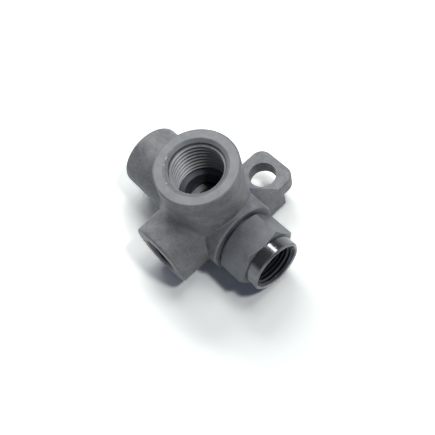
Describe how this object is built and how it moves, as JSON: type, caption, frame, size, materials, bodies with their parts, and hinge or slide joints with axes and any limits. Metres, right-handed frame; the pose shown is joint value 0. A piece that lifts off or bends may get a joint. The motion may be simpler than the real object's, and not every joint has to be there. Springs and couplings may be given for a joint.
{
  "type": "non-return valve",
  "caption": "Shuttle non-return valve for air lines: a cast tee-shaped body with tapped ports, a mounting lug and a screwed hexagon end cap.",
  "frame": {"origin": "centre of the lug's bolt hole, on the lug's top face, which lies in the plane of the inlets' and side port's axes", "axes": "+X along the inlets towards the hexagon cap, +Y towards the mounting lug, +Z along the delivery port, out of its mouth"},
  "size_m": [0.0701, 0.0569, 0.0447],
  "materials": {
    "cast_body": "blasted casting with machined port faces",
    "cap_metal": "machined, dull flats and a brighter nose",
    "seal_rubber": "matte",
    "guide_plastic": "matte",
    "shuttle_plastic": "matte"
  },
  "bodies": {
    "valve_body": {"body": "cast_body", "end_cap": "cap_metal", "cap_o_ring": "seal_rubber", "shuttle_guide": "guide_plastic"},
    "shuttle": {"shuttle_core": "shuttle_plastic", "barrel_side_facing": "seal_rubber", "cap_side_facing": "seal_rubber"}
  },
  "joints": [
    {"name": "shuttle_slide", "type": "slide", "parent": "valve_body", "child": "shuttle", "axis": [1, 0, 0], "range_m": [0, 0.005]}
  ]
}
